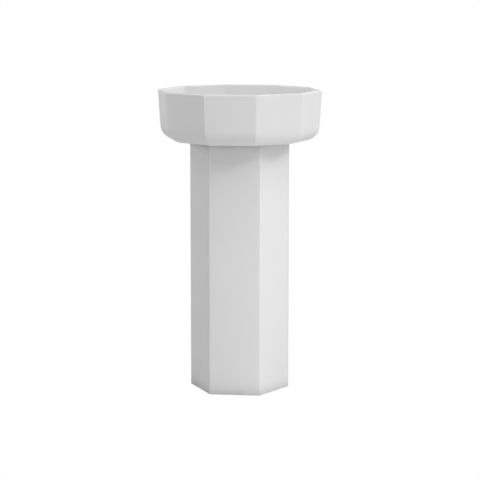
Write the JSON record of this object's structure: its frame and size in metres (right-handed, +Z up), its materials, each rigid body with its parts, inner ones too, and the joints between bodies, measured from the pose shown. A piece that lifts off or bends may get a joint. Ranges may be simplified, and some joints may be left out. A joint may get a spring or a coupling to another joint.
{
  "type": "baptismal font",
  "caption": "Free-standing baptismal font: an open ten-sided bowl with a push plug, waste and trap, bolted on a hollow six-sided column with a rear service panel.",
  "frame": {"origin": "centre of the column's foot, on the floor", "axes": "+Z up; -Y is the front, the flat side of bowl and column that faces the user; +Y is the rear with the service panel; both polygons have corners on X"},
  "size_m": [0.491, 0.4676, 0.9],
  "materials": {
    "cast_stone": "matt white cast mineral composite",
    "seat_gasket_rubber": "grey",
    "seal_rubber": "black",
    "waste_chrome": "polished",
    "fitting_brass": "machined",
    "insert_brass": "knurled",
    "zinc_steel": "zinc plated",
    "galvanised_steel": "hot-dip galvanised",
    "stainless_steel": "satin",
    "trap_plastic": "moulded polypropylene",
    "drain_plastic": "grey extruded pipe"
  },
  "bodies": {
    "font": {"bowl": "cast_stone", "bowl_inserts": "insert_brass", "bowl_bolts": "zinc_steel", "bowl_bolt_washers": "zinc_steel", "bowl_seat_gasket": "seat_gasket_rubber", "column": "cast_stone", "access_panel": "cast_stone", "panel_screws": "stainless_steel", "panel_inserts": "insert_brass", "front_floor_bracket": "galvanised_steel", "rear_floor_bracket": "galvanised_steel", "bracket_bolts": "zinc_steel", "bracket_inserts": "insert_brass", "waste_body": "waste_chrome", "waste_flange_seal": "seal_rubber", "waste_lower_seal": "seal_rubber", "waste_backnut": "fitting_brass", "click_cartridge": "fitting_brass", "plug_spring": "stainless_steel", "tailpiece": "trap_plastic", "tailpiece_washer": "seal_rubber", "tailpiece_nut": "trap_plastic", "trap_body": "trap_plastic", "trap_cup": "trap_plastic", "trap_cup_seal": "seal_rubber", "trap_inlet_nut": "trap_plastic", "trap_inlet_seal": "seal_rubber", "trap_outlet_nut": "trap_plastic", "trap_outlet_seal": "seal_rubber", "outlet_bend": "trap_plastic", "floor_pipe": "drain_plastic", "floor_pipe_seal": "seal_rubber"},
    "plug": {"plug_cap": "waste_chrome", "plug_stem": "fitting_brass", "plug_seal": "seal_rubber"}
  },
  "joints": [
    {"name": "plug_lift", "type": "slide", "parent": "font", "child": "plug", "axis": [0, 0, 1], "range_m": [0, 0.009], "deforming": ["plug_spring"]}
  ]
}
